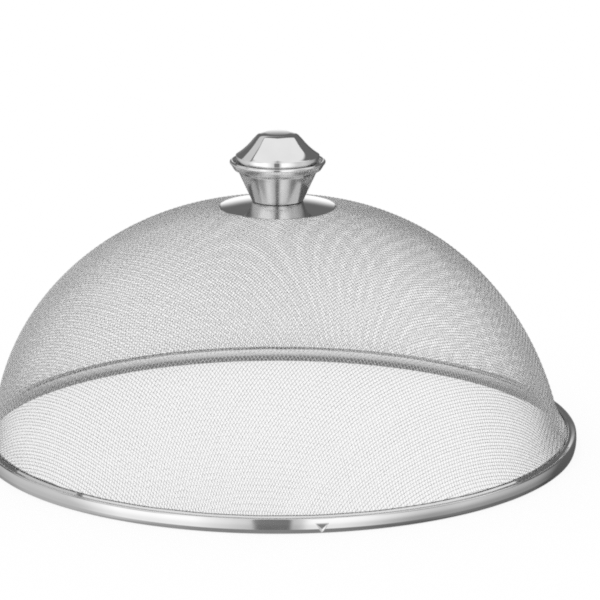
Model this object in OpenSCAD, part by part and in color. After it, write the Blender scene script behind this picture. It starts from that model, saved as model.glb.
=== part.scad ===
// Buffet food cover: a drawn wire-mesh dome in a folded rim, with a hollow two-part knob
// screwed through a polished plate at the crown. Millimetres, +Z up, origin at the centre
// of the ring on which the rim rests.

/* [Rim] */
// Outer diameter of the folded rim
rim_d = 300; // [200:1:420]
// Height of the rim's outer face
rim_h = 8; // [7:0.1:14]
// Height of the edge of the lip that grips the mesh
lip_h = 7.7; // [7:0.1:16]
// Rise of the lip's rounded top above the line from its edge to the crease
lip_round = 0.5; // [0.1:0.1:1]
// Distance of the lip's edge from the outer face
lip_in = 6.4; // [5.8:0.1:10]
// Distance of the crease from the outer face
crease_in = 3; // [2:0.1:4]
// Depth of the crease below the top of the outer face
crease_depth = 0.8; // [0.3:0.1:1.5]
// Inward lean of the outer face over its height
face_lean = 0.5; // [0:0.1:1.5]
// Drop of the inner leg's edge below the lip
leg_drop = 0.5; // [0:0.1:2]
// Outward lean of the inner leg from its edge to its foot
leg_lean = 0.3; // [0:0.1:1]
// Thickness of the rim's steel strip
strip_t = 0.6; // [0.4:0.05:0.9]
// Bend radius of the lip's rounded top
lip_bend = 1.5; // [1:0.1:2]
// Bend radius at the top of the outer face
top_bend = 1.5; // [1:0.1:2.2]
// Bend radius half way down the outer face
face_bend = 8; // [2:0.5:12]
// Bend radius at the foot of the outer face
foot_bend = 2.3; // [1:0.1:2.5]
// Bend radius at the foot of the inner leg
leg_bend = 3.5; // [1:0.1:4]
// Diameter of the hoop inside the fold
hoop_d = 3.6; // [2:0.1:4.2]

/* [Mesh dome] */
// Height of the mesh's crown above the table
dome_h = 122.2; // [80:0.1:160]
// Radius of the crown's arc
crown_r = 300; // [200:1:600]
// How much smaller the side's arc is than the rim's radius
side_inset = 22; // [5:0.5:40]
// Height at which the mesh ends inside the rim
hem_z = 5; // [3.5:0.1:6.5]
// Spacing of the bars, each standing for a band of fine wires
mesh_pitch = 15; // [13:0.1:30]
// Thickness of the mesh
mesh_t = 0.8; // [0.4:0.05:1.2]
// Width of a bar
bar_w = 1.4; // [0.6:0.1:3]
// Depth below the table of the point that the wires fan out from
fan_depth = 240; // [150:5:500]
// Turn of the weave about the axis
weave_turn = 40.5; // [-45:0.5:45]

/* [Plates] */
// Diameter of the polished plate on the crown
plate_d = 57.8; // [40:0.1:90]
// Thickness of the polished plate
plate_t = 1; // [0.6:0.1:2]
// Diameter of the backing plate inside the dome
backing_d = 40; // [24:0.5:70]
// Thickness of the backing plate
backing_t = 1; // [0.5:0.1:2]

/* [Knob] */
// Diameter of the cup's floor
cup_floor_d = 25.2; // [18:0.1:32]
// Diameter of the cup at the top of its straight side
cup_top_d = 38.7; // [34:0.1:42]
// How far the rolled lip stands out past the straight side
lip_out = 4.3; // [2:0.1:10]
// Height of the cup's straight side
cup_side_h = 15.2; // [10:0.1:18]
// Height of the flared mouth, to the top of its lip
flare_h = 5.4; // [3:0.1:12]
// Thickness of the rolled lip
lip_bead = 1.9; // [1.4:0.1:3]
// Bend radius at the cup's floor
cup_bend = 1.5; // [1:0.1:3]
// How far the cap's skirt stands back from the cup's lip
skirt_in = 3; // [1:0.1:4]
// Height of the skirt's edge
skirt_edge = 2.1; // [0.4:0.1:3]
// Height of the skirt above the cup's lip
skirt_gap = 0.4; // [0.2:0.1:3]
// Diameter of the cap where its side would meet its crown
shoulder_d = 20.2; // [10:0.1:30]
// Height of the cap from its skirt to that meeting
bell_h = 12.6; // [6:0.1:25]
// Hollow of the bell's side
bell_sag = 0.65; // [0:0.05:1]
// Height of the crown above that meeting
crown_rise = 1.55; // [0.2:0.05:2]
// Bend radius between the crown and the bell
shoulder_bend = 3; // [2:0.1:4]
// Depth of the collar's foot below the top of the cup's straight side
collar_reach = 3.2; // [1.5:0.1:8]
// Thickness of the knob's sheet
knob_t = 0.8; // [0.5:0.05:1.2]

/* [Fastening] */
// Diameter of the screw's shank
screw_d = 5; // [3:0.5:6]
// Diameter of the screw's head
head_d = 9.5; // [8:0.1:16]
// Height of the screw's head
head_h = 3; // [2:0.1:6]
// Width of the screw's slot
slot_w = 1.2; // [0.6:0.1:2]
// Depth of the screw's slot
slot_depth = 1.3; // [0.5:0.1:1.8]
// Length of screw past the nut
screw_past = 1; // [0:0.1:4]
// Width of the nut across its flats
nut_w = 8; // [7:0.1:13]
// Height of the nut
nut_h = 4; // [2.5:0.1:8]
// Diameter of the flat washer
washer_d = 12; // [9:0.1:20]
// Thickness of the flat washer
washer_t = 1; // [0.5:0.1:2]
// Diameter of the spring washer
spring_d = 8.8; // [7.5:0.1:14]
// Thickness of the spring washer
spring_t = 1.3; // [0.8:0.1:2]
// Gap cut in the spring washer
spring_gap = 0.8; // [0.4:0.1:2]

/* [Fits] */
// Room left on each side of the mesh where it is held
mesh_fit = 0.2; // [0.1:0.05:0.4]
// Room between the hoop and the fold
hoop_fit = 0.2; // [0.1:0.05:0.4]
// Room round the screw's shank
hole_fit = 0.25; // [0.1:0.05:0.6]
// Room between the screw and the nut's thread
thread_fit = 0.1; // [0.05:0.05:0.2]
// Room between the cap's collar and the cup
collar_fit = 0.15; // [0.1:0.05:0.3]
// Room between pieces stacked on one another
seat_fit = 0.05; // [0.05:0.05:0.2]

/* [Hidden] */
$fn = 96;
bend_steps = 6;
arc_steps = 12;
bend_end = 2;
eps = 0.01;

// Paths: corners rounded to a radius, a bowed line, and a path moved aside by a sheet's thickness.
function unit(v) = v/norm(v);
function turned(v, a) = [v[0]*cos(a) - v[1]*sin(a), v[0]*sin(a) + v[1]*cos(a)];
function corner(a, b, c, r) =
    let (u = unit(a - b), v = unit(c - b))
    let (half = acos(u*v)/2, mid = b + unit(u + v)*r/sin(half))
    let (start = b + u*r/tan(half) - mid)
    let (sweep = (u[0]*v[1] - u[1]*v[0] > 0 ? -1 : 1)*(180 - 2*half))
    [for (k = [0:bend_steps]) mid + turned(start, sweep*k/bend_steps)];
function soft(p, r) =
    let (last = len(p) - 1)
    [p[0], for (i = [1:last - 1]) each corner(p[i - 1], p[i], p[i + 1], r[i - 1]), p[last]];
function bowed(p, q, sag) =
    let (across = [q[1] - p[1], p[0] - q[0]]/norm(q - p))
    [for (k = [0:arc_steps]) let (s = k/arc_steps) p + s*(q - p) + 4*s*(1 - s)*sag*across];
function beside(p, t) =
    let (last = len(p) - 1)
    [for (i = [0:last])
        let (u = unit(p[min(i + 1, last)] - p[max(i - 1, 0)]))
        p[i] + t*[u[1], -u[0]]];
function backwards(p) = [for (i = [len(p) - 1:-1:0]) p[i]];
function between(a, b) = [for (k = [0:arc_steps]) a + (b - a)*k/arc_steps];

// Where the lip grips the mesh.
rim_r = rim_d/2;
side_r = rim_r - side_inset;
lip_end = [rim_r - lip_in, lip_h];
crease = [rim_r - crease_in, rim_h - crease_depth];
lip_top = (lip_end + crease)/2 + [0, lip_round];
lip_way = unit(lip_top - lip_end);
grip = lip_end + strip_t*[lip_way[1], -lip_way[0]];
mesh_end = [grip[0] - mesh_fit - mesh_t/2, grip[1]];

// The dome's meridian: a crown arc round the axis, tangent to a side arc that runs to the grip.
crown_c = [0, dome_h - crown_r];
arc_apart = crown_r - side_r;
grip_far = norm(mesh_end - crown_c);
grip_way = (mesh_end - crown_c)/grip_far;
side_along = (arc_apart*arc_apart - side_r*side_r + grip_far*grip_far)/(2*grip_far);
side_off = sqrt(arc_apart*arc_apart - side_along*side_along);
side_c = crown_c + side_along*grip_way + side_off*[-grip_way[1], grip_way[0]];
join_angle = atan2(side_c[0], side_c[1] - crown_c[1]);

// The meridian's point at a height, at a radius and at an arc length from the crown.
function side_x(z, out = 0) = side_c[0] + sqrt(pow(side_r + out, 2) - pow(z - side_c[1], 2));
function dome_z(x, out = 0) =
    x < (crown_r + out)*sin(join_angle)
    ? crown_c[1] + sqrt(pow(crown_r + out, 2) - x*x)
    : side_c[1] + sqrt(pow(side_r + out, 2) - pow(x - side_c[0], 2));
function arc_angle(s) =
    let (crown_s = crown_r*join_angle*PI/180)
    s < crown_s ? s/crown_r*180/PI : join_angle + (s - crown_s)/side_r*180/PI;
function along(s) =
    let (a = arc_angle(s))
    a < join_angle
    ? crown_c + crown_r*[sin(a), cos(a)]
    : side_c + side_r*[sin(a), cos(a)];
function dome_path(x0, x1, out) = [for (x = between(x0, x1)) [x, dome_z(x, out)]];

// The net: warp and weft lie in planes that fan out from one point on the axis below the table,
// so a crossing is a ray from that point with one slope along X and one along Y.
hem_s = crown_r*join_angle*PI/180
        + side_r*(acos((hem_z - side_c[1])/side_r) - join_angle)*PI/180;
half_n = ceil(hem_s/mesh_pitch);
function slope(p) = p[0]/(p[1] + fan_depth);
hem_slope = slope([side_x(hem_z), hem_z]);
last_slope = slope(along(hem_s - mesh_pitch/4));
function wire_slope(i) =
    let (u = i - half_n + 0.5)
    sign(u)*slope(along(abs(u)*mesh_pitch));
function crown_hit(m, out) =
    let (c = fan_depth + crown_c[1], k = 1 + m*m)
    (c + sqrt(c*c - k*(c*c - pow(crown_r + out, 2))))/k;
function side_hit(m, out) =
    let (c = fan_depth + side_c[1], k = 1 + m*m, b = m*side_c[0] + c)
    (b + sqrt(b*b - k*(side_c*side_c - pow(side_c[1], 2) + c*c - pow(side_r + out, 2))))/k;
function hit(a, b, out) =
    let (m = norm([a, b]), top = crown_hit(m, out))
    let (up = m*top < (crown_r + out)*sin(join_angle) ? top : side_hit(m, out))
    [a*up, b*up, up - fan_depth];
function held(i, j) =
    i >= 0 && j >= 0 && i < 2*half_n && j < 2*half_n
    && norm([wire_slope(i), wire_slope(j)]) < last_slope;
function half_bar(a, z) = bar_w/2*sqrt(1 + a*a)/(z + fan_depth);
function rim_slope(a) = sqrt(hem_slope*hem_slope - a*a);

// A crossing has a ridge point outside and four corners inside, and a loose end a ridge point
// and two corners.
ways = [[1, 0], [0, 1], [-1, 0], [0, -1]];
function crossing(i, j) =
    let (in = held(i, j), a = in ? wire_slope(i) : 0.1, b = in ? wire_slope(j) : 0.1)
    let (top = hit(a, b, mesh_t/2), da = half_bar(a, top[2]), db = half_bar(b, top[2]))
    [top, for (q = [[1, 1], [-1, 1], [-1, -1], [1, -1]]) hit(a + q[0]*da, b + q[1]*db, -mesh_t/2)];
function loose(i, j, w) =
    let (d = ways[w], c = wire_slope(d[0] == 0 ? i : j), half = half_bar(c, hem_z))
    [for (q = [[0, 1], [1, -1], [-1, -1]])
        let (across = c + q[0]*half, run = rim_slope(across))
        d[0] == 0
        ? hit(across, d[1]*run, q[1]*mesh_t/2)
        : hit(d[0]*run, across, q[1]*mesh_t/2)];
grid = [for (i = [0:2*half_n - 1], j = [0:2*half_n - 1]) [i, j]];
function is_end(g, d) = held(g[0], g[1]) && !held(g[0] + d[0], g[1] + d[1]);
ends = [for (g = grid, w = [0:3]) if (is_end(g, ways[w])) [g, w]];
function at(i, j, k) = 5*(i*2*half_n + j) + k;
function end_at(n, k) = 5*len(grid) + 3*n + k;

// Faces of a bar that runs along X from left to right, and of one along Y from near to far.
function bar_x(l, r) = [[l[2], r[2], r[1], l[1]], [l[0], l[1], r[1], r[0]], [l[0], r[0], r[2], l[2]]];
function bar_y(n, f) = [[n[2], n[1], f[1], f[2]], [n[0], f[0], f[1], n[1]], [n[0], n[2], f[2], f[0]]];
function side_of(g, w) =
    let (k = [[0, 1, 4], [0, 1, 2], [0, 2, 3], [0, 4, 3]][w])
    [for (n = k) at(g[0], g[1], n)];
function end_faces(n) =
    let (g = ends[n][0], w = ends[n][1], s = side_of(g, w), e = [for (k = [0:2]) end_at(n, k)])
    w == 0 ? [each bar_x(s, e), [e[0], e[1], e[2]]]
    : w == 1 ? [each bar_y(s, e), [e[0], e[2], e[1]]]
    : w == 2 ? [each bar_x(e, s), [e[0], e[2], e[1]]]
    : [each bar_y(e, s), [e[0], e[1], e[2]]];
function grid_faces(g) =
    let (i = g[0], j = g[1])
    [if (held(i, j)) [for (k = [1:4]) at(i, j, k)],
     if (held(i, j) && held(i + 1, j)) each bar_x(side_of([i, j], 0), side_of([i + 1, j], 2)),
     if (held(i, j) && held(i, j + 1)) each bar_y(side_of([i, j], 1), side_of([i, j + 1], 3))];

// The stack on the axis, from the screw's head up to the knob.
cup_h = cup_side_h + flare_h;
cup_lip_d = cup_top_d + 2*lip_out;
skirt_d = cup_lip_d - 2*skirt_in;
hole_d = screw_d + 2*hole_fit;
bar_drop = mesh_pitch*mesh_pitch/(8*side_r);
plate_in = mesh_t/2 + seat_fit;
plate_top = dome_z(cup_floor_d/2, plate_in + plate_t);
backing_out = -mesh_t/2 - mesh_fit - bar_drop;
backing_foot = dome_z(washer_d/2, backing_out - backing_t);
washer_foot = backing_foot - seat_fit - washer_t;
spring_foot = washer_foot - seat_fit - spring_t;
head_top = spring_foot - seat_fit;
head_foot = head_top - head_h;
cup_z = plate_top + seat_fit;
nut_z = cup_z + knob_t + seat_fit;
screw_end = nut_z + nut_h + screw_past;
skirt_z = cup_z + cup_h + skirt_gap;
shoulder_z = skirt_z + bell_h;

// The cup's outline, with its flare below the lip, and the inside that the cap's collar fits.
cup_top = [cup_top_d/2, cup_side_h];
lip_c = [cup_lip_d/2 - lip_bead/2, cup_h - lip_bead/2];
flare = cup_top + [0.67*(lip_c[0] - cup_top[0]), 0.22*(lip_c[1] - cup_top[1])];
flare_bend = 0.6*(lip_c[0] - cup_top[0]);
cup_path = soft([[hole_d/2, 0], [cup_floor_d/2, 0], cup_top, flare, lip_c],
                [cup_bend, flare_bend, flare_bend]);
collar_z = cup_z + cup_side_h - collar_reach;
cup_lean = (cup_top_d - cup_floor_d)/2/cup_side_h;
function cup_inside(z) = cup_floor_d/2 + (z - cup_z)*cup_lean - knob_t*sqrt(1 + cup_lean*cup_lean);
collar_r = cup_inside(collar_z) - collar_fit;

module sheet(p, t) {
    polygon(concat(p, backwards(beside(p, t))));
}

module rim_band() {
    leg_z = lip_h - leg_drop;
    leg_r = side_x(leg_z) - mesh_t/2 - mesh_fit - strip_t;
    path = soft([lip_end, lip_top, crease, [rim_r, rim_h], [rim_r, rim_h/2], [rim_r - face_lean, 0],
                 [leg_r + leg_lean, 0], [leg_r, leg_z]],
                [lip_bend, strip_t/2, top_bend, face_bend, foot_bend, leg_bend]);
    color("Silver") rotate_extrude() sheet(path, strip_t);
}

module rim_hoop() {
    out = rim_r - face_lean - strip_t - hoop_fit - hoop_d/2;
    color("DimGray")
        rotate_extrude()
            translate([out, strip_t + hoop_fit + hoop_d/2]) circle(d = hoop_d);
}

module mesh_dome() {
    color("LightGray")
        rotate([0, 0, weave_turn])
            polyhedron(
                points = concat([for (g = grid) each crossing(g[0], g[1])],
                                [for (e = ends) each loose(e[0][0], e[0][1], e[1])]),
                faces = concat([for (g = grid) each grid_faces(g)],
                               [for (n = [0:len(ends) - 1]) each end_faces(n)]));
}

module top_plate() {
    foot = dome_path(hole_d/2, plate_d/2, plate_in);
    face = dome_path(cup_floor_d/2, plate_d/2 - plate_t/2, plate_in + plate_t);
    color("Gainsboro")
        rotate_extrude()
            polygon(concat(foot, [[plate_d/2, dome_z(plate_d/2, plate_in) + plate_t/2]], backwards(face),
                           [[hole_d/2, plate_top]]));
}

module backing_plate() {
    face = dome_path(hole_d/2, backing_d/2, backing_out);
    foot = dome_path(washer_d/2, backing_d/2, backing_out - backing_t);
    color("DarkGray")
        rotate_extrude()
            polygon(concat([[hole_d/2, backing_foot]], foot, backwards(face)));
}

module knob_cup() {
    color("WhiteSmoke")
        translate([0, 0, cup_z])
            rotate_extrude() {
                sheet(cup_path, -knob_t);
                translate(lip_c) circle(d = lip_bead);
            }
}

module knob_cap() {
    shoulder = [shoulder_d/2, shoulder_z];
    top = [0, shoulder_z + crown_rise];
    hem = [skirt_d/2, skirt_z + skirt_edge];
    crown = bowed(top, shoulder, -crown_rise/4);
    bell = bowed(shoulder, hem, bell_sag);
    bend_start = arc_steps - bend_end;
    brow = soft([crown[bend_start], shoulder, bell[bend_end]], [shoulder_bend]);
    outside = concat([for (k = [0:bend_start - 1]) crown[k]], brow,
                     [for (k = [bend_end + 1:arc_steps]) bell[k]]);
    inside = [for (p = beside(outside, knob_t))
        if (p[0] < collar_r - knob_t - eps) [max(p[0], 0), p[1]]];
    color("White")
        rotate_extrude()
            polygon(concat(outside, [[skirt_d/2, skirt_z], [collar_r, skirt_z], [collar_r, collar_z],
                                     [collar_r - knob_t, collar_z], [collar_r - knob_t, skirt_z]],
                           backwards(inside)));
}

module knob_nut() {
    color("SlateGray")
        translate([0, 0, nut_z])
            difference() {
                cylinder(h = nut_h, d = nut_w/cos(30), $fn = 6);
                translate([0, 0, -eps]) cylinder(h = nut_h + 2*eps, d = screw_d + 2*thread_fit);
            }
}

module knob_screw() {
    edge = head_h/3;
    color("DarkSlateGray")
        difference() {
            rotate_extrude()
                polygon([[0, head_foot], [head_d/2 - edge, head_foot], [head_d/2, head_foot + edge],
                         [head_d/2, head_top], [screw_d/2, head_top],
                         [screw_d/2, screw_end], [0, screw_end]]);
            translate([-head_d, -slot_w/2, head_foot - eps]) cube([2*head_d, slot_w, slot_depth + eps]);
        }
}

module flat_washer() {
    color("Gray")
        translate([0, 0, washer_foot])
            difference() {
                cylinder(h = washer_t, d = washer_d);
                translate([0, 0, -eps]) cylinder(h = washer_t + 2*eps, d = hole_d);
            }
}

module spring_washer() {
    color("DimGray")
        translate([0, 0, spring_foot])
            difference() {
                cylinder(h = spring_t, d = spring_d);
                translate([0, 0, -eps]) cylinder(h = spring_t + 2*eps, d = hole_d);
                rotate([30, 0, 0])
                    translate([0, -spring_gap/2, -spring_t]) cube([spring_d, spring_gap, 4*spring_t]);
            }
}

rim_band();
rim_hoop();
mesh_dome();
top_plate();
backing_plate();
knob_cup();
knob_cap();
knob_nut();
knob_screw();
flat_washer();
spring_washer();
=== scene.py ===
import math

import bpy
import numpy as np
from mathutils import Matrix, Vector


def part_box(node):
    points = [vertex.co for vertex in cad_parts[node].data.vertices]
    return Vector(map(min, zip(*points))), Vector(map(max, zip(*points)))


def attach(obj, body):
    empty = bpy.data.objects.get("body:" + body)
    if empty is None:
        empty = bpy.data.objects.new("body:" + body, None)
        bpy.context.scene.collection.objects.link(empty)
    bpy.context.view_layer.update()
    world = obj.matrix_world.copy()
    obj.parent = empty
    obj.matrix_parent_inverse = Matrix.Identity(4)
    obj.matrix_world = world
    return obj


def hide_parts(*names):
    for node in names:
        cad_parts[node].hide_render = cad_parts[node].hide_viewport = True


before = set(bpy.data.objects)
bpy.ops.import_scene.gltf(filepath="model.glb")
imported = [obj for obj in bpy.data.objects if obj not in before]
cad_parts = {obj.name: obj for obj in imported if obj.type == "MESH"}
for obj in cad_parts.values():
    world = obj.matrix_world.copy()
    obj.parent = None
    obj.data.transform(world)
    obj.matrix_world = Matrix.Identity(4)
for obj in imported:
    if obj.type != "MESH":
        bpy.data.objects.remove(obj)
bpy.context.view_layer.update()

# Camera: it stands 1.6 m in front of the cover and looks a little down on it through a long lens.
# The shift frames the cover left of the middle, with the end of its rim outside the picture.
MM = 0.001
camera = bpy.data.objects.new("camera", bpy.data.cameras.new("camera"))
bpy.context.scene.collection.objects.link(camera)
camera.location = (0, -1600 * MM, 488.3 * MM)
line_of_sight = Vector((0, 0, 80 * MM)) - camera.location
camera.rotation_euler = line_of_sight.to_track_quat("-Z", "Y").to_euler()
camera.data.sensor_width = 36
camera.data.lens = 199.05
camera.data.shift_x = 0.0373
camera.data.shift_y = -0.02425
bpy.context.scene.camera = camera
bpy.context.scene.view_settings.view_transform = "Standard"
bpy.context.scene.cycles.use_denoising = False
bpy.context.scene.cycles.filter_width = 1.9


# Studio: a white tent with a soft lamp panel overhead, a smaller one on the left, a slit for the
# camera and unlit ground behind. The picture's own ground is white, and so is the floor.
class Tone:
    """A shader socket that adds, takes away, multiplies and divides like a number."""

    def __init__(self, socket):
        self.socket = socket

    def node(self, kind, settings=None, sockets=None, out=0):
        """Adds a node to the socket's tree: its settings, then its sockets' values or links."""
        tree = self.socket.id_data
        node = tree.nodes.new("ShaderNode" + kind)
        for key, value in (settings or {}).items():
            if key != "stops":
                setattr(node, key, value)
                continue
            stops = node.color_ramp.elements
            stops.remove(stops[1])
            stops[0].position = value[0][0]
            for k, (place, grey) in enumerate(value):
                stop = stops.new(place) if k else stops[0]
                stop.color = (grey, grey, grey, 1)
        for key, value in (sockets or {}).items():
            if isinstance(value, Tone):
                tree.links.new(value.socket, node.inputs[key])
            else:
                node.inputs[key].default_value = value
        return Tone(node.outputs[out])

    def math(self, operation, first, second=0.0):
        return self.node("Math", {"operation": operation}, {0: first, 1: second})

    def __add__(self, other):
        return self.math("ADD", self, other)

    def __sub__(self, other):
        return self.math("SUBTRACT", self, other)

    def __rsub__(self, other):
        return self.math("SUBTRACT", other, self)

    def __mul__(self, other):
        return self.math("MULTIPLY", self, other)

    def __truediv__(self, other):
        return self.math("DIVIDE", self, other)

    __radd__ = __add__
    __rmul__ = __mul__

    def rise(self, low, high):
        """0 below low, 1 above high, and a soft step between."""
        span = {"Value": self, 1: low, 2: high}
        return self.node("MapRange", {"interpolation_type": "SMOOTHSTEP"}, span)

    def to(self, other, share):
        """This tone where the share is 0, the other where it is 1, and a mix between."""
        return self + (other - self) * share

    def parts(self, count):
        """The first parts of a vector: x, y and z."""
        return (self.node("SeparateXYZ", None, {0: self}, k) for k in range(count))

    def noise(self, scale, detail):
        """Cloudy noise over the places that this vector gives."""
        return self.node("TexNoise", None, {"Vector": self, "Scale": scale, "Detail": detail})


world = bpy.data.worlds.new("studio")
bpy.context.scene.world = world
world.use_nodes = True
world.cycles.sampling_method = "NONE"
backdrop = world.node_tree.nodes["Background"]
way = Tone(backdrop.outputs[0]).node("TexCoord")
across, depth, height = way.parts(3)
aside = across.math("ABSOLUTE", across)
turn = way.math("ARCTAN2", across, depth * -1) / (2 * math.pi) + 0.5
# Brightness of the tent's wall by degrees round from the camera, to the right.
WALL = [(-180, 0.12), (-150, 0.3), (-120, 0.6), (-85, 0.68), (-73, 0.95), (-62, 1.15), (-32, 1.15),
        (-14, 0.78), (-9.6, 0.7), (-9.1, 0.2), (4.6, 0.2), (5.2, 0.6), (8, 0.68), (11.5, 1.1),
        (14, 1.15), (25, 1.15), (42, 0.9), (52, 0.72), (63, 0.64), (74, 0.68), (99, 0.5),
        (115, 0.4), (129, 0.2), (134, 0.12), (180, 0.1)]
wall = turn.node("ValToRGB", {"stops": [(a / 360 + 0.5, tone) for a, tone in WALL]}, {0: turn})
wall = wall.node("RGBToBW", None, {0: wall})
# The wall darkens towards its foot, most of all on the right, then towards its top, and at both
# sides from the middle up. Below its foot lies the table.
WALL_MIDDLE = 1.08
wall_foot = 0.82 - 0.5 * across.rise(0.3, 0.9)
wall = wall * wall_foot.to(WALL_MIDDLE, height.rise(-0.6, -0.2))
wall = wall * (1 - 0.7 * height.rise(0.7, 0.85))
wall = wall * (1 - 0.6 * height.rise(0, 0.25) * aside.rise(0.5, 0.75))
table = 0.27 + 0.12 * (across * -1).rise(0.2, 0.8) - 0.17 * across.rise(0.2, 0.8)
wall = table.to(wall, height.rise(-0.7, -0.6))
# The wall is high on the camera's side and low behind. The tent above it is unlit, and a sheet of
# bright paper stands straight behind the cover.
UNLIT, BRIGHT_PAPER = 0.15, 1.12
wall_top = 0.16 + 0.75 * (depth * -1).rise(-0.3, -0.1)
light = wall.to(UNLIT, (height - wall_top).rise(-0.08, 0.1))
paper_height = height.rise(-0.2, -0.1) * (1 - height.rise(0.07, 0.33))
light = light.to(BRIGHT_PAPER, paper_height * (1 - aside.rise(0.1, 0.16)) * depth.rise(0, 0.1))
# Each lamp panel is bounded by flat cuts through the middle of the tent.
EDGE = 0.02
PANEL, SIDE_PANEL = 0.92, 0.66
left_cut = 0.85 * across - depth + 1.045 * height
right_cut = 1.276 * height - 0.42 * across - depth
front_cut = depth + 0.64 * height
rear_cut = 0.2 * height + 0.8 * aside - depth
in_panel = left_cut.rise(0, EDGE) * right_cut.rise(0, EDGE)
in_panel = in_panel * front_cut.rise(0, 4 * EDGE) * rear_cut.rise(0, 6 * EDGE)
light = light.to(PANEL, in_panel)
side_right_cut = left_cut * -1 - 0.06 * height
side_rear_cut = 1.31 * height - depth
side_front_cut = depth + 0.1 * height
in_side = side_right_cut.rise(0, EDGE) * side_rear_cut.rise(0, EDGE)
in_side = in_side * side_front_cut.rise(0, EDGE) * height.rise(0, 0.1)
light = light.to(SIDE_PANEL, in_side)
# Only the mirroring steel sees the tent. All else is lit by plain white.
mirrored = way.node("LightPath", out=3)
light = light * mirrored + (1 - mirrored)
world.node_tree.links.new(light.socket, backdrop.inputs["Color"])

bpy.ops.object.select_all(action="DESELECT")
bpy.ops.mesh.primitive_plane_add(size=8, location=(0, 0, -0.3 * MM))
floor = bpy.context.object
floor.name = "floor"
bpy.ops.object.transform_apply(location=True)
paper = bpy.data.materials.new("floor_paper")
paper.use_nodes = True
paper_out = paper.node_tree.nodes["Material Output"]
paper.node_tree.nodes.remove(paper.node_tree.nodes["Principled BSDF"])
GLOW = 0.84
glow = paper.node_tree.nodes.new("ShaderNodeEmission")
glow.inputs["Strength"].default_value = GLOW
glow = Tone(glow.outputs[0])
shaded = glow.node("BsdfDiffuse", None, {"Color": (1 - GLOW, 1 - GLOW, 1 - GLOW, 1)})
ground = glow.node("AddShader", None, {0: glow, 1: shaded})
# In the steel, only the floor under the cover shows, with the rim's shade painted along its edge.
at_floor = glow.node("NewGeometry")
from_axis = glow.node("VectorMath", {"operation": "LENGTH"}, {0: at_floor}, 1)
floor_x, floor_y = at_floor.parts(2)
# Painted shade of the mesh: the floor under the cover is darker at both sides.
beside = glow.math("ABSOLUTE", floor_x).rise(0.06, 0.1) * (1 - floor_y.rise(0.02, 0.06))
under = (0.22 + 0.7 * (1 - from_axis.rise(0.124, 0.14))) * (1 - 0.8 * beside)
inside = glow.node("Emission", None, {"Strength": under})
beyond = glow.node("BsdfTransparent")
inside = glow.node("MixShader", None, {0: from_axis.rise(0.146, 0.147), 1: inside, 2: beyond})
ground = glow.node("MixShader", None, {0: glow.node("LightPath", out=3), 1: ground, 2: inside})
paper.node_tree.links.new(ground.socket, paper_out.inputs["Surface"])
floor.data.materials.append(paper)


# Rim band: bright steel strip, rolled into a ring and folded over the hem of the mesh. A slanted
# lip presses on the mesh outside, a crease sets off the round outer face, and a leg stands inside.
def rounded(points, bends, steps=8):
    """A path whose inner corners are bent to the given radii."""
    points = [np.array(p, float) for p in points]
    path = [points[0]]
    for a, b, c, bend in zip(points, points[1:], points[2:], bends):
        u = (a - b) / np.linalg.norm(a - b)
        v = (c - b) / np.linalg.norm(c - b)
        half = math.acos(np.clip(u @ v, -1, 1)) / 2
        middle = b + (u + v) / np.linalg.norm(u + v) * bend / math.sin(half)
        x, z = b + u * bend / math.tan(half) - middle
        whole = (math.pi - 2 * half) * (-1 if u[0] * v[1] - u[1] * v[0] > 0 else 1)
        for k in range(steps + 1):
            sine, cosine = math.sin(whole * k / steps), math.cos(whole * k / steps)
            path.append(middle + np.array([x * cosine - z * sine, x * sine + z * cosine]))
    return path + [points[-1]]


def spaced(path, most):
    """The path with its long stretches divided."""
    out = [path[0]]
    for a, b in zip(path, path[1:]):
        n = max(1, math.ceil(np.linalg.norm(b - a) / most))
        out += [a + (b - a) * k / n for k in range(1, n + 1)]
    return out


def sheet_outline(path, thick):
    """The closed outline of a sheet: its path, and back along the same path a thickness aside."""
    back = []
    for k, p in enumerate(path):
        u = path[min(k + 1, len(path) - 1)] - path[max(k - 1, 0)]
        u = u / np.linalg.norm(u)
        back.append(p + thick * np.array([u[1], -u[0]]))
    return path + back[::-1] + [path[0]]


def spun(name, outline, steps):
    """Turns an outline of radii and heights, in millimetres, round the axis."""
    touching = 0.002 * MM
    bpy.ops.object.select_all(action="DESELECT")
    bpy.ops.mesh.primitive_plane_add(size=MM)
    piece = bpy.context.object
    piece.name = piece.data.name = name
    bpy.ops.object.mode_set(mode="EDIT")
    bpy.ops.mesh.select_all(action="SELECT")
    bpy.ops.mesh.merge(type="CENTER")
    bpy.ops.transform.translate(value=(outline[0][0] * MM, 0, outline[0][1] * MM))
    for a, b in zip(outline, outline[1:]):
        step = ((b[0] - a[0]) * MM, 0, (b[1] - a[1]) * MM)
        bpy.ops.mesh.extrude_vertices_move(TRANSFORM_OT_translate={"value": step})
    bpy.ops.object.mode_set(mode="OBJECT")
    turning = piece.modifiers.new("turning", "SCREW")
    turning.steps = turning.render_steps = steps
    turning.use_merge_vertices = True
    turning.merge_threshold = touching
    bpy.ops.object.modifier_apply(modifier="turning")
    bpy.ops.object.mode_set(mode="EDIT")
    bpy.ops.mesh.select_all(action="SELECT")
    bpy.ops.mesh.remove_doubles(threshold=touching)
    bpy.ops.mesh.normals_make_consistent(inside=False)
    bpy.ops.object.mode_set(mode="OBJECT")
    bpy.ops.object.shade_smooth_by_angle(angle=math.radians(35))
    return piece


RIM_R = 150
STRIP = 0.6
RIM_STEPS = 720
rim_corners = [(145.4, 7.28), (146.2, 7.8), (147.1, 6.9), (149.75, 7.7), (RIM_R, 5), (149.75, 2.2),
               (149.2, 0), (144.2, 0), (143.9, 7.4)]
rim_path = spaced(rounded(rim_corners, [0.3, 0.25, 0.8, 14, 1.2, 0.6, 3.5], 5), 1.2)
rim = spun("rim_folded_strip", sheet_outline(rim_path, STRIP), RIM_STEPS)

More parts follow.
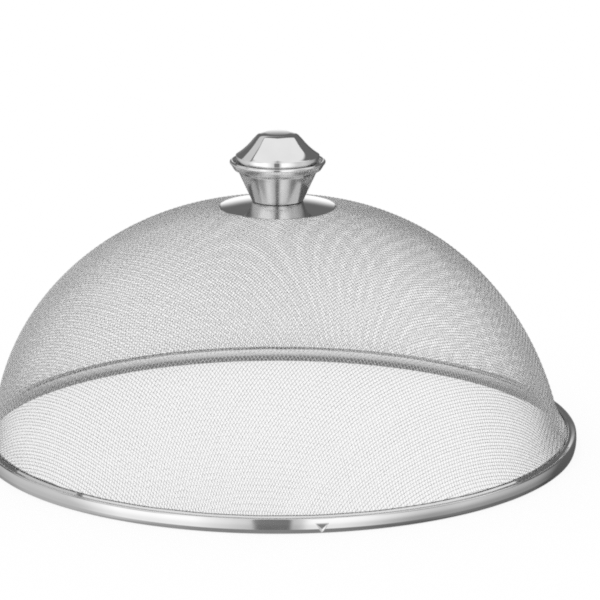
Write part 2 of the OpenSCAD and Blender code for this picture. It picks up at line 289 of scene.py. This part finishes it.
# The outer face has a small dent right of the front. Its facets are divided to carry the shape.
DENT_TURN, DENT_SPAN = 0.136, 0.035
DENT_TOP, DENT_REACH = 5.1, 3.3
bpy.ops.object.mode_set(mode="EDIT")
bpy.ops.mesh.select_all(action="DESELECT")
bpy.ops.object.mode_set(mode="OBJECT")
for face in rim.data.polygons:
    x, y, z = face.center
    outside = math.hypot(x, y) > 149 * MM and z > 0.3 * MM
    face.select = outside and abs(math.atan2(x, -y) - DENT_TURN) < DENT_SPAN
bpy.context.tool_settings.mesh_select_mode = (False, False, True)
bpy.ops.object.mode_set(mode="EDIT")
bpy.ops.mesh.subdivide(number_cuts=6)
bpy.ops.object.mode_set(mode="OBJECT")
bpy.context.tool_settings.mesh_select_mode = (True, False, False)

# The lip is rippled where it was pressed down, most of all at the right end.
spot = np.empty(3 * len(rim.data.vertices), np.float32)
rim.data.vertices.foreach_get("co", spot)
spot = spot.reshape(-1, 3).astype(float) / MM
rim_turn = np.arctan2(spot[:, 0], -spot[:, 1])
rim_far = np.hypot(spot[:, 0], spot[:, 1])
RIPPLES = (5, 8, 13, 21, 34)
waves = np.random.default_rng(5)
ripple = sum(np.sin(k * rim_turn + waves.uniform(0, 6.28)) * waves.uniform(0.5, 1)
             for k in RIPPLES) / len(RIPPLES)
on_lip = np.clip((147.4 - rim_far) / 1.2, 0, 1) * (rim_far > 143.5)
on_lip = on_lip * np.clip((spot[:, 2] - 5) / 2, 0, 1)
buckled = 0.2 + 0.4 * np.exp(-((rim_turn - 1.45) / 0.35) ** 2)
spot[:, 2] += buckled * ripple * on_lip

# The dent is a triangle that points down and is deepest near its lower corner. The face beside it
# is slightly uneven, and the divided facets bulge out to the true circle.
UNEVEN = 0.06
on_face = np.clip((rim_far - 148) / 1.5, 0, 1)
aslant = (rim_turn - DENT_TURN) * RIM_R
drop = DENT_TOP - spot[:, 2]
left_flank = aslant + DENT_REACH - 0.74 * drop
right_flank = DENT_REACH - aslant - 0.62 * drop
knock = np.minimum(0.18 * drop, 0.5 * np.minimum(left_flank, right_flank))
rim_grow = 1 - (UNEVEN * (1 + ripple) + np.maximum(knock, 0)) * on_face / rim_far
facet = 2 * math.pi / RIM_STEPS
rim_grow *= np.cos(np.mod(rim_turn, facet) - facet / 2) / math.cos(facet / 2)
spot[:, :2] *= rim_grow[:, None]
rim.data.vertices.foreach_set("co", (spot * MM).astype(np.float32).ravel())
rim.data.update()


def steel(name, colour, roughness):
    """A metal finish: its material, its shader and the place on the piece, for the grain to read."""
    finish = bpy.data.materials.new(name)
    finish.use_nodes = True
    metal = finish.node_tree.nodes["Principled BSDF"]
    metal.inputs["Metallic"].default_value = 1
    metal.inputs["Base Color"].default_value = (colour, colour, colour, 1)
    metal.inputs["Roughness"].default_value = roughness
    where = Tone(metal.outputs[0]).node("TexCoord", out=3)
    return finish, metal, where


def feed(finish, metal, socket, tone):
    finish.node_tree.links.new(tone.socket, metal.inputs[socket])


def grey_mix(tone, dark, light):
    """A colour between two greys."""
    pair = {6: (dark, dark, dark, 1), 7: (light, light, light, 1), 0: tone}
    return tone.node("Mix", {"data_type": "RGBA"}, pair, 2)


def ring_grain(where, round_scale, fine):
    """Noise drawn out along the turning direction."""
    x, y, z = where.parts(3)
    r = where.math("SQRT", x * x + y * y)
    drawn_out = {0: x / r * round_scale, 1: y / r * round_scale, 2: (r + z * 1.7) * fine}
    return where.node("CombineXYZ", None, drawn_out).noise(1.0, 3.0)


rim_finish, metal, where = steel("rim_bright_strip", 0.8, 0.1)
lines = ring_grain(where, 2.5, 2600)
smears = where.noise(45.0, 4.0)
feed(rim_finish, metal, "Base Color", grey_mix(0.6 * smears + 0.4 * lines, 0.7, 0.86))
feed(rim_finish, metal, "Roughness", 0.03 + 0.05 * lines + 0.06 * smears.rise(0.5, 0.75))
rim.data.materials.append(rim_finish)
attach(rim, "root")
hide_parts("rim_band")

# Rim hoop: dull drawn wire, bent to a ring and closed inside the fold before the strip is rolled
# over it. It keeps the rim round and cannot be seen.
dull, metal, where = steel("dull_steel", 0.5, 0.4)
mill = where.noise(300.0, 5.0)
feed(dull, metal, "Base Color", grey_mix(mill, 0.4, 0.6))
feed(dull, metal, "Roughness", 0.28 + 0.25 * mill)
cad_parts["rim_hoop"].data.materials.clear()
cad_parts["rim_hoop"].data.materials.append(dull)

# Mesh dome: one disc of plain-woven steel wire, drawn over a former. The squares of the cloth
# shear into diamonds on the two bias lines, and the wires' ends lie inside the rim's fold.
PITCH = 1.5875
WIRE = 0.136
HEM_Z = 5
HEM_R = 143
DOME_TOP = 122.2
CROWN_R = 190
CROWN_Z = DOME_TOP - CROWN_R
SIDE_R = 129
WEAVE_TURN = math.radians(40.5)
# The side's arc passes through the hold on the rim and meets the crown's arc without a corner.
hem_hold = np.array([141.9, 7.1])
apart = CROWN_R - SIDE_R
reach = np.linalg.norm(hem_hold - (0, CROWN_Z))
lead = (hem_hold - (0, CROWN_Z)) / reach
along = (apart**2 - SIDE_R**2 + reach**2) / (2 * reach)
off = math.sqrt(apart**2 - along**2)
SIDE_X, SIDE_Z = np.array((0, CROWN_Z)) + along * lead + off * np.array((-lead[1], lead[0]))
JOIN = math.atan2(SIDE_X, SIDE_Z - CROWN_Z)


def off_dome(p):
    """How far points lie off the dome (as squares), and the way straight out of it."""
    far = np.maximum(np.hypot(p[:, 0], p[:, 1]), 1e-9)
    crown = np.arctan2(far, p[:, 2] - CROWN_Z) < JOIN
    cx, cz = np.where(crown, 0, SIDE_X), np.where(crown, CROWN_Z, SIDE_Z)
    radius = np.where(crown, CROWN_R, SIDE_R)
    out = np.stack([(far - cx) * p[:, 0] / far, (far - cx) * p[:, 1] / far, p[:, 2] - cz], 1)
    return (out * out).sum(1) - radius**2, out


def meridian(s):
    """The point of the dome's outline an arc length from the crown."""
    a = np.where(s < CROWN_R * JOIN, s / CROWN_R, JOIN + (s - CROWN_R * JOIN) / SIDE_R)
    crown = a < JOIN
    radius = np.where(crown, CROWN_R, SIDE_R)
    return (np.where(crown, 0, SIDE_X) + radius * np.sin(a),
            np.where(crown, CROWN_Z, SIDE_Z) + radius * np.cos(a))


# One quarter of the cloth: each new crossing lies one pitch from its two neighbours.
COUNT = 134
quarter = np.full((COUNT, COUNT, 3), np.nan)
far, up = meridian(np.arange(COUNT) * PITCH)
quarter[:, 0] = np.stack([far, 0 * far, up], 1)
quarter[0, :] = np.stack([0 * far, far, up], 1)
quarter[np.isnan(quarter[..., 2]) | (quarter[..., 2] < HEM_Z)] = np.nan
for d in range(2, 2 * COUNT - 1):
    i = np.arange(max(1, d - COUNT + 1), min(d, COUNT))
    j = d - i
    a, b, c = quarter[i - 1, j], quarter[i, j - 1], quarter[i - 1, j - 1]
    good = ~np.isnan(a + b + c).any(1)
    if not good.any():
        break
    i, j, a, b, c = i[good], j[good], a[good], b[good], c[good]
    p = a + b - c
    for _ in range(8):
        miss, out = off_dome(p)
        from_a, from_b = p - a, p - b
        short = np.stack([(from_a**2).sum(1) - PITCH**2, (from_b**2).sum(1) - PITCH**2, miss], 1)
        slopes = np.stack([2 * from_a, 2 * from_b, 2 * out], 1)
        p = p - np.linalg.solve(slopes, short[..., None])[..., 0]
    p[p[:, 2] < HEM_Z] = np.nan
    quarter[i, j] = p
half = np.concatenate([quarter[:0:-1] * (-1, 1, 1), quarter])
cloth = np.concatenate([half[:, :0:-1] * (1, -1, 1), half], 1)

# The wires of real cloth stray a little from their places.
STRAY, DRIFT = 0.035, 0.02
stray = np.random.default_rng(11)
size = len(cloth)
steps = np.arange(size)


def wander(lines):
    """A small sideways drift along each wire."""
    drift = stray.normal(0, STRAY, (lines, 1)) * np.ones(size)
    for waves_per in (3, 7, 15):
        turns = waves_per * steps / size + stray.random((lines, 1))
        drift = drift + DRIFT * np.sin(2 * math.pi * turns)
    return drift


ahead_i = np.gradient(cloth, axis=0)
ahead_j = np.gradient(cloth, axis=1)
ahead_i = np.nan_to_num(ahead_i / np.linalg.norm(ahead_i, axis=2, keepdims=True))
ahead_j = np.nan_to_num(ahead_j / np.linalg.norm(ahead_j, axis=2, keepdims=True))
cloth = cloth + ahead_i * wander(size)[..., None] + ahead_j * wander(size).T[..., None]
_, out = off_dome(np.nan_to_num(cloth.reshape(-1, 3), nan=100.0))
out = (out / np.linalg.norm(out, axis=1, keepdims=True)).reshape(cloth.shape)
over = np.where((steps[:, None] + steps[None, :]) % 2 == 0, WIRE, -WIRE)[..., None]
turn_c, turn_s = math.cos(WEAVE_TURN), math.sin(WEAVE_TURN)
into_frame = np.array([[turn_c, -turn_s, 0], [turn_s, turn_c, 0], [0, 0, 1]])


def run_to_hem(wire):
    """A wire's crossings, with both ends drawn on to the hem."""
    wire = wire[~np.isnan(wire).any(1)]
    if len(wire) < 3:
        return None
    ends = []
    for last, before in ((wire[0], wire[1]), (wire[-1], wire[-2])):
        fall = before[2] - last[2]
        more = np.clip((last[2] - HEM_Z) / max(fall, 1e-6), 0, 1)
        ends.append(last + (last - before) * more)
    return np.concatenate([[ends[0]], wire, [ends[1]]])


# The drawn dome leans a little to the left at mid height, and its hem flares into the rim.
LEAN = 2.2
FLARE, FLARE_TOP, FLARE_SPAN = 3.2, 20, 13


def shaped(wire):
    """A wire turned into the frame, with the dome's lean and the flare of its hem."""
    run = wire @ into_frame.T
    part_up = np.clip((run[:, 2] - HEM_Z) / (DOME_TOP - HEM_Z), 0, 1)
    run[:, 0] -= 4 * LEAN * part_up * (1 - part_up)
    brim = FLARE * np.clip((FLARE_TOP - run[:, 2]) / FLARE_SPAN, 0, 2) ** 2
    run[:, :2] *= 1 + brim[:, None] / HEM_R
    return run


def woven(name, wires):
    """Draws wires as rods along their runs, as one piece with a lane of its map for each wire."""
    sides = 4
    curve = bpy.data.curves.new(name, "CURVE")
    curve.dimensions = "3D"
    curve.bevel_depth = WIRE * MM
    curve.bevel_resolution = 0
    for wire in wires:
        spline = curve.splines.new("POLY")
        spline.points.add(len(wire) - 1)
        run = shaped(wire)
        spline.points.foreach_set("co", np.c_[run * MM, np.ones(len(run))].ravel())
        spline.points.foreach_set("tilt", np.arange(len(wire)) % 2 * math.pi / sides)
    piece = bpy.data.objects.new(name, curve)
    bpy.context.scene.collection.objects.link(piece)
    bpy.ops.object.select_all(action="DESELECT")
    piece.select_set(True)
    bpy.context.view_layer.objects.active = piece
    bpy.ops.object.convert(target="MESH")
    piece = bpy.context.object
    bpy.ops.object.mode_set(mode="EDIT")
    bpy.ops.mesh.select_all(action="SELECT")
    bpy.ops.mesh.fill_holes(sides=sides)
    bpy.ops.object.mode_set(mode="OBJECT")
    bpy.ops.object.shade_smooth_by_angle(angle=math.radians(100))
    lanes = piece.data.uv_layers[0]
    lanes.name = "OFBake"
    at = np.empty(2 * len(piece.data.loops), np.float32)
    lanes.data.foreach_get("uv", at)
    at = at.reshape(-1, 2)
    face_corners = [4 * sides * (len(w) - 1) for w in wires]
    lane = np.repeat(np.arange(len(wires)), face_corners)
    at[:len(lane), 1] = (lane + 0.1 + 0.8 * at[:len(lane), 1]) / len(wires)
    lanes.data.foreach_set("uv", at.ravel())
    return piece


wire_finish, metal, where = steel("drawn_wire", 0.8, 0.25)
tarnish = where.noise(70.0, 4.0)
glint = where.noise(900.0, 2.0)
feed(wire_finish, metal, "Base Color", grey_mix(0.5 * tarnish + 0.5 * glint, 0.75, 0.91))
feed(wire_finish, metal, "Roughness", 0.2 + 0.2 * tarnish)
# The warp is held tighter in the loom, so the weft takes most of the crimp.
WARP_CRIMP, WEFT_CRIMP = 0.4, 1.6
PARTS = 3
warp = cloth + WARP_CRIMP * out * over
weft = (cloth - WEFT_CRIMP * out * over).transpose(1, 0, 2)
for name, lay in (("warp", warp), ("weft", weft)):
    wires = [w for w in map(run_to_hem, lay) if w is not None]
    share = np.cumsum([len(w) for w in wires])
    for k in range(PARTS):
        low, high = k * share[-1], (k + 1) * share[-1]
        mine = [w for w, s in zip(wires, share) if low < s * PARTS <= high]
        piece = woven(f"mesh_{name}_{k + 1}", mine)
        piece.data.materials.append(wire_finish)
        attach(piece, "root")
        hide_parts("mesh_dome")


# Top plate: a disc of sheet steel, pressed to a shallow dome with a thin edge and a flat seat for
# the cup, then mirror polished. It lies on the mesh, and the screw clamps it there.
def crown_arc(start, end, out, steps=24):
    """The crown's curve between two radii, a distance out of the mesh."""
    arc = []
    for x in np.linspace(start, end, steps):
        on_crown = x < (CROWN_R + out) * math.sin(JOIN)
        z = (CROWN_Z + math.sqrt((CROWN_R + out) ** 2 - x * x) if on_crown
             else SIDE_Z + math.sqrt((SIDE_R + out) ** 2 - (x - SIDE_X) ** 2))
        arc.append(np.array((x, z)))
    return arc


PLATE_R = 28.9
HOLE_R = 2.75
KNOB_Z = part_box("knob_cup")[0].z / MM
SEAT_Z = KNOB_Z - 0.01
PLATE_TOP, PLATE_BOW = KNOB_Z + 0.66, 237
PLATE_OUT, EDGE_DROP = 0.45, 0.15
plate_face = [np.array((x, min(SEAT_Z, PLATE_TOP - x * x / PLATE_BOW)))
              for x in np.linspace(HOLE_R, PLATE_R - 0.2, 40)]
plate_foot = [p - (0, EDGE_DROP * (p[0] / PLATE_R) ** 2)
              for p in crown_arc(PLATE_R - 0.1, HOLE_R, PLATE_OUT)]
plate_edge = [np.array((PLATE_R, plate_foot[0][1] + z)) for z in (0.2, 0.08)]
plate = spun("crown_plate", plate_face + plate_edge + plate_foot + [plate_face[0]], 160)
mirror, metal, where = steel("mirror_polish", 0.84, 0.05)
buffing = ring_grain(where, 3, 3500)
haze = where.noise(140.0, 4.0)
feed(mirror, metal, "Base Color", grey_mix(haze, 0.78, 0.88))
feed(mirror, metal, "Roughness", 0.025 + 0.04 * buffing + 0.05 * haze.rise(0.55, 0.8))
plate.data.materials.append(mirror)
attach(plate, "root")
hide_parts("top_plate")

# Backing plate: a plain disc of dull sheet steel, pressed to the curve of the crown from inside,
# with a flat for the washer. The screw draws it up so that it clamps the mesh.
BACK_R, BACK_T = 20, 1
BACK_OUT = -0.82
FLAT_R = 6
back_face = crown_arc(HOLE_R, BACK_R - 0.2, BACK_OUT)
back_edge = np.array((BACK_R, back_face[-1][1] - 0.4))
back_foot = crown_arc(BACK_R - 0.2, FLAT_R, BACK_OUT - BACK_T)
back_flat = np.array((HOLE_R, back_foot[-1][1]))
back = spun("crown_backing", back_face + [back_edge] + back_foot + [back_flat, back_face[0]], 128)
back.data.materials.append(dull)
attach(back, "root")
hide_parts("backing_plate")

# Screw, nut and washers: plain turned and stamped steel hardware. The screw passes from inside the
# dome through the washers, both plates and the mesh, and the nut holds it on the cup's floor.
for name in ("knob_nut", "knob_screw", "flat_washer", "spring_washer"):
    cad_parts[name].data.materials.clear()
    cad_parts[name].data.materials.append(dull)

# Knob cup: sheet steel, drawn to a cone with a flared mouth whose edge is rolled to a bead. It is
# left satin, apart from the buffed bead, and the nut clamps its floor to the top plate.
KNOB_T = 0.8
BEAD = 0.95
lip_r, lip_z = 23.65 - BEAD, KNOB_Z + 20.6 - BEAD
cup_out = rounded([(HOLE_R, KNOB_Z), (12.6, KNOB_Z), (19.4, KNOB_Z + 15), (21.6, KNOB_Z + 16.2),
                   (22.9, KNOB_Z + 18.4)], [1.5, 2, 1.2])
bead = [np.array((lip_r + BEAD * math.cos(t), lip_z + BEAD * math.sin(t)))
        for t in np.linspace(-1.2, 3.3, 18)]
cup_in = rounded([(lip_r - BEAD, lip_z - 0.3), (21.4, KNOB_Z + 17.6), (18.7, KNOB_Z + 15.6),
                  (11.9, KNOB_Z + KNOB_T), (HOLE_R, KNOB_Z + KNOB_T)], [0.8, 1.5, 1])
cup = spun("knob_cup_drawn", spaced(cup_out, 1) + bead + spaced(cup_in, 1) + [cup_out[0]], 160)
satin, metal, where = steel("satin_polish", 0.8, 0.16)
drawn = ring_grain(where, 3, 2500)
dulled = where.noise(110.0, 4.0)
up_cup = where.node("SeparateXYZ", None, {0: where}, 2)
buffed = up_cup.rise((KNOB_Z + 17.6) * MM, (KNOB_Z + 18.6) * MM)
cup_grey = (0.58 + 0.11 * dulled).to(0.86, buffed)
cup_rough = 0.13 + 0.08 * drawn + 0.06 * dulled.rise(0.45, 0.75)
feed(satin, metal, "Base Color", grey_mix(cup_grey, 0, 1))
feed(satin, metal, "Roughness", cup_rough * (1 - 0.75 * buffed))
cup.data.materials.append(satin)
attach(cup, "root")
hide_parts("knob_cup")

# Knob cap: a bell of mirror-polished sheet steel with a shallow crown and a turned-in skirt. Its
# collar is pressed into the mouth of the cup.
TOP_Z = KNOB_Z + 34.4
SKIRT_R, SKIRT_Z = 20.65, KNOB_Z + 20.2
COLLAR_R, COLLAR_Z = 16.9, KNOB_Z + 12
CAP_BOW = 300
BELL_HOLLOW = 0.5
crown = [np.array((x, TOP_Z - x * x / CAP_BOW)) for x in np.linspace(0, 6.5, 12)]
bell_top, bell_foot = np.array((12.3, TOP_Z - 3.67)), np.array((SKIRT_R, KNOB_Z + 23.1))
brow = rounded([crown[-1], (9.6, TOP_Z - 0.75), bell_top], [4.5], 12)[1:]
slope = bell_foot - bell_top
side = slope / np.linalg.norm(slope)
inward = np.array((side[1], -side[0]))
bell = [bell_top + s * slope + 4 * s * (1 - s) * BELL_HOLLOW * inward
        for s in np.linspace(0, 1, 24)[1:]]
skirt = rounded([bell[-3], bell_foot, (SKIRT_R, SKIRT_Z), (COLLAR_R, SKIRT_Z), (COLLAR_R, COLLAR_Z),
                 (COLLAR_R - KNOB_T, COLLAR_Z), (COLLAR_R - KNOB_T, TOP_Z - 9.5), (9, TOP_Z - 2.2),
                 (0, TOP_Z - KNOB_T)], [0.5, 0.3, 0.3, 0.1, 0.1, 0.5, 3])
cap = spun("knob_cap_bell", crown + brow + bell[:-3] + skirt, 160)
cap.data.materials.append(mirror)
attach(cap, "root")
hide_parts("knob_cap")
